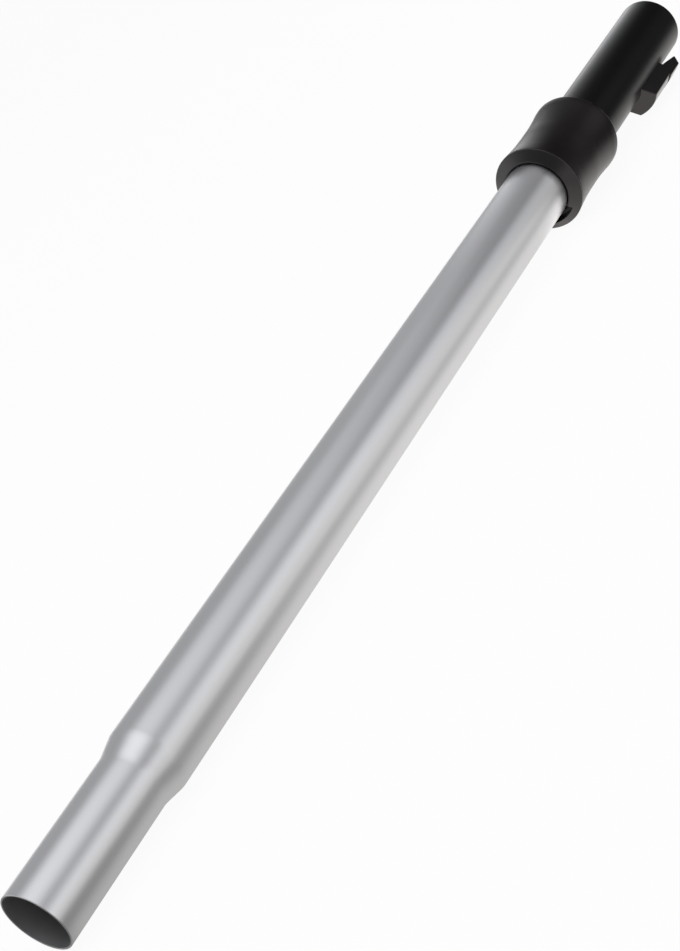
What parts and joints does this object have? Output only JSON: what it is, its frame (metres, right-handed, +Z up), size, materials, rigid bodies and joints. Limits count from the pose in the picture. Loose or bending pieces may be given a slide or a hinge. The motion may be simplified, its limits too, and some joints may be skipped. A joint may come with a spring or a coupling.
{
  "type": "telescopic vacuum wand",
  "caption": "Telescopic vacuum cleaner wand: necked silver lower tube, sliding upper tube with black hose socket and parking hook, spring-loaded release collar.",
  "frame": {"origin": "centre of the floor-tool spigot's mouth, on the wand's axis", "axes": "+X along the wand towards the hose end, +Z up as it lies on the floor, where the parking hook points down and 29 degrees towards -Y"},
  "size_m": [0.695, 0.052, 0.0545],
  "materials": {
    "satin_silver": "satin anodised silver",
    "bright_silver": "polished, drawn lengthwise",
    "socket_black": "satin moulded black",
    "collar_black": "satin moulded black",
    "hook_black": "satin moulded black",
    "ring_black": "smooth moulded black",
    "guide_plastic": "black low-friction plastic",
    "jaw_plastic": "grey filled plastic",
    "seal_rubber": "soft black rubber",
    "spring_steel": "drawn spring wire"
  },
  "bodies": {
    "lower_tube": {"outer_tube": "satin_silver", "guide_bush": "guide_plastic", "seal_ring": "seal_rubber", "return_spring": "spring_steel"},
    "upper_tube": {"inner_tube": "bright_silver", "slide_ring": "guide_plastic", "hose_socket": "socket_black", "park_hook": "hook_black"},
    "release_collar": {"release_sleeve": "collar_black", "front_ring": "ring_black", "rear_cover": "ring_black"},
    "jaw_1": {"clamp_jaw_1": "jaw_plastic"},
    "jaw_2": {"clamp_jaw_2": "jaw_plastic"},
    "jaw_3": {"clamp_jaw_3": "jaw_plastic"}
  },
  "joints": [
    {"name": "tube_slide", "type": "slide", "parent": "lower_tube", "child": "upper_tube", "axis": [1, 0, 0], "range_m": [0, 0.39]},
    {"name": "collar_slide", "type": "slide", "parent": "lower_tube", "child": "release_collar", "axis": [-1, 0, 0], "range_m": [0, 0.007], "stiffness_N_per_m": 900, "springref_m": -0.005, "deforming": ["return_spring"]},
    {"name": "jaw_1_lift", "type": "slide", "parent": "lower_tube", "child": "jaw_1", "axis": [0, 0.515, -0.8572], "range_m": [0, 0.0005]},
    {"name": "jaw_2_lift", "type": "slide", "parent": "lower_tube", "child": "jaw_2", "axis": [0, 0.4848, 0.8746], "range_m": [0, 0.0005]},
    {"name": "jaw_3_lift", "type": "slide", "parent": "lower_tube", "child": "jaw_3", "axis": [0, -0.9998, -0.0175], "range_m": [0, 0.0005]}
  ],
  "couplings": [
    {"joint": "jaw_1_lift", "follows": "collar_slide", "ratio": 0.071429},
    {"joint": "jaw_2_lift", "follows": "collar_slide", "ratio": 0.071429},
    {"joint": "jaw_3_lift", "follows": "collar_slide", "ratio": 0.071429}
  ]
}
